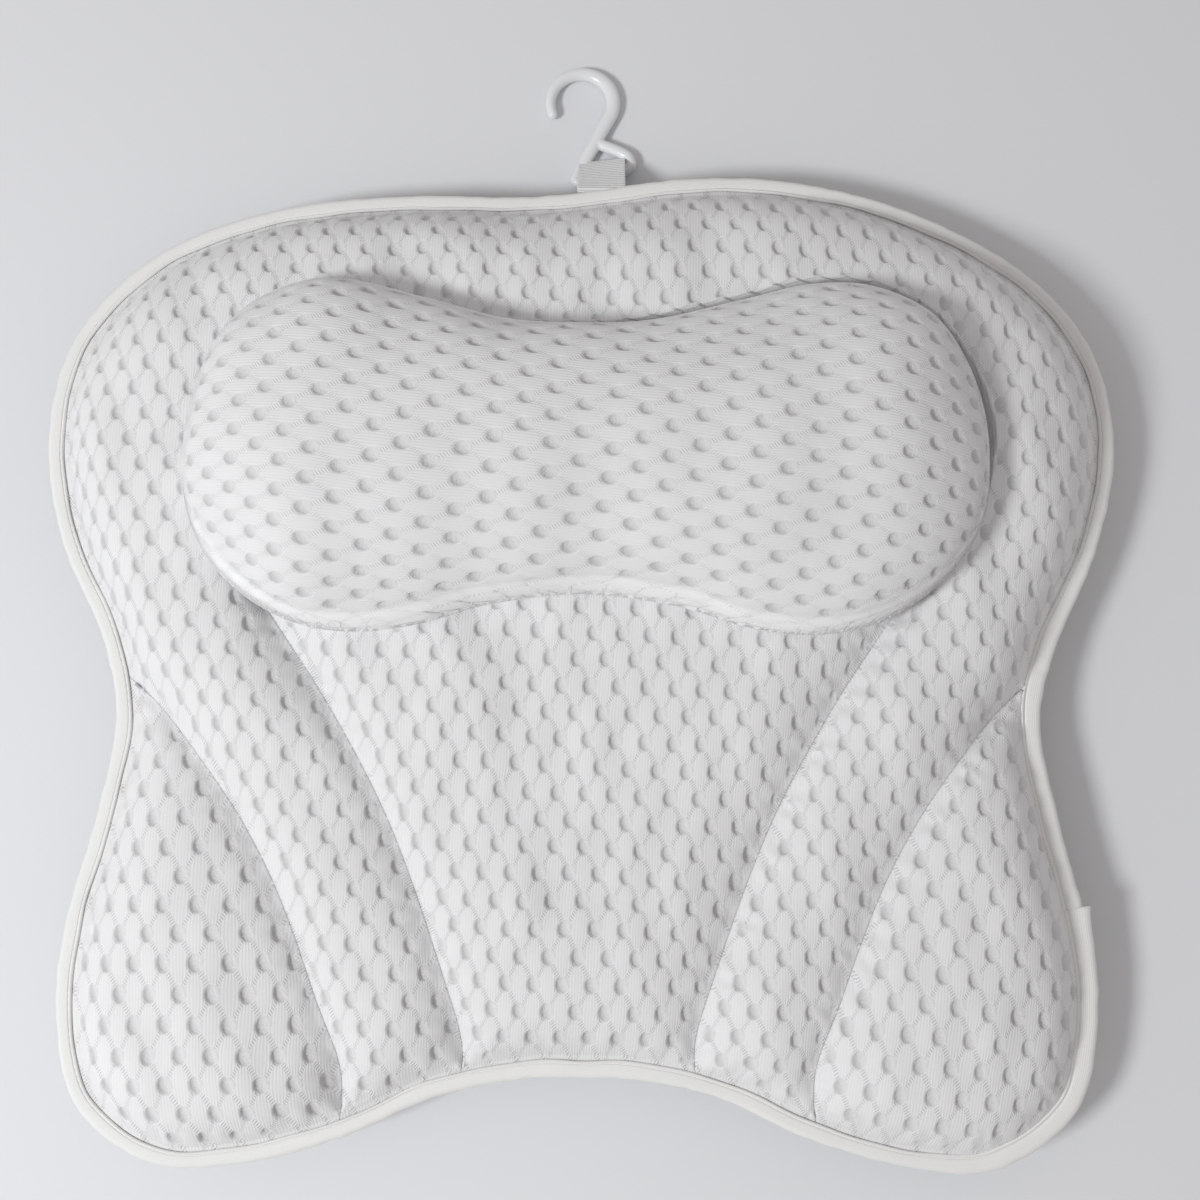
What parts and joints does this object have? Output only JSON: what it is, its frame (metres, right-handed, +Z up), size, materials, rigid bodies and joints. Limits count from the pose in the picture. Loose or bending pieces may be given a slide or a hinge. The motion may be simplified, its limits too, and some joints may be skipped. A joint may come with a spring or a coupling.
{
  "type": "bath pillow",
  "caption": "Butterfly-shaped bath pillow of white air mesh with a kidney-shaped neck bolster, bound edge, suction cups behind and a plastic hanging hook.",
  "frame": {"origin": "under the middle of the whole part, on the plane of the suction cups' rims", "axes": "+X to the wearer's right hand as the front is seen, +Y towards the hanging hook, +Z up out of the padded front"},
  "size_m": [0.4276, 0.451, 0.1002],
  "materials": {
    "mesh_fabric": "matte knit mesh",
    "mesh_back": "matte flat mesh",
    "binding_tape": "matte knit tape",
    "webbing": "ribbed woven tape",
    "fibre_fill": "loose fibre",
    "hook_plastic": "moulded gloss",
    "cup_vinyl": "soft clear moulding"
  },
  "bodies": {
    "pillow": {"back_panel": "mesh_back", "edge_binding": "binding_tape", "yoke_panel": "mesh_fabric", "centre_panel": "mesh_fabric", "left_lobe_panel": "mesh_fabric", "right_lobe_panel": "mesh_fabric", "yoke_fill": "fibre_fill", "centre_fill": "fibre_fill", "left_lobe_fill": "fibre_fill", "right_lobe_fill": "fibre_fill", "bolster_cover": "mesh_fabric", "bolster_fill": "fibre_fill", "cup_strap_1": "webbing", "cup_strap_2": "webbing", "cup_strap_3": "webbing", "cup_strap_4": "webbing", "cup_strap_5": "webbing", "cup_strap_6": "webbing"},
    "cup_1": {"suction_cup_1": "cup_vinyl"},
    "cup_2": {"suction_cup_2": "cup_vinyl"},
    "cup_3": {"suction_cup_3": "cup_vinyl"},
    "cup_4": {"suction_cup_4": "cup_vinyl"},
    "cup_5": {"suction_cup_5": "cup_vinyl"},
    "cup_6": {"suction_cup_6": "cup_vinyl"},
    "loop": {"hang_loop": "webbing"},
    "hook": {"hook": "hook_plastic"}
  },
  "joints": [
    {"name": "cup_1_turn", "type": "hinge", "parent": "pillow", "child": "cup_1", "pos_m": [-0.13803, 0.07266, 0.0174], "axis": [0, 0, 1], "continuous": true},
    {"name": "cup_2_turn", "type": "hinge", "parent": "pillow", "child": "cup_2", "pos_m": [0.13803, 0.07266, 0.0174], "axis": [0, 0, 1], "continuous": true},
    {"name": "cup_3_turn", "type": "hinge", "parent": "pillow", "child": "cup_3", "pos_m": [-0.07009, -0.02945, 0.0174], "axis": [0, 0, 1], "continuous": true},
    {"name": "cup_4_turn", "type": "hinge", "parent": "pillow", "child": "cup_4", "pos_m": [0.07009, -0.02945, 0.0174], "axis": [0, 0, 1], "continuous": true},
    {"name": "cup_5_turn", "type": "hinge", "parent": "pillow", "child": "cup_5", "pos_m": [-0.1419, -0.16548, 0.0174], "axis": [0, 0, 1], "continuous": true},
    {"name": "cup_6_turn", "type": "hinge", "parent": "pillow", "child": "cup_6", "pos_m": [0.1419, -0.16548, 0.0174], "axis": [0, 0, 1], "continuous": true},
    {"name": "loop_swing", "type": "hinge", "parent": "pillow", "child": "loop", "pos_m": [0.0064, 0.16292, 0.02475], "axis": [1, 0, 0], "range_deg": [-30, 100]},
    {"name": "hook_swing", "type": "hinge", "parent": "loop", "child": "hook", "pos_m": [0.00725, 0.17678, 0.0039], "axis": [0.9563, 0.2923, -0.0076], "range_deg": [-100, 60]}
  ]
}
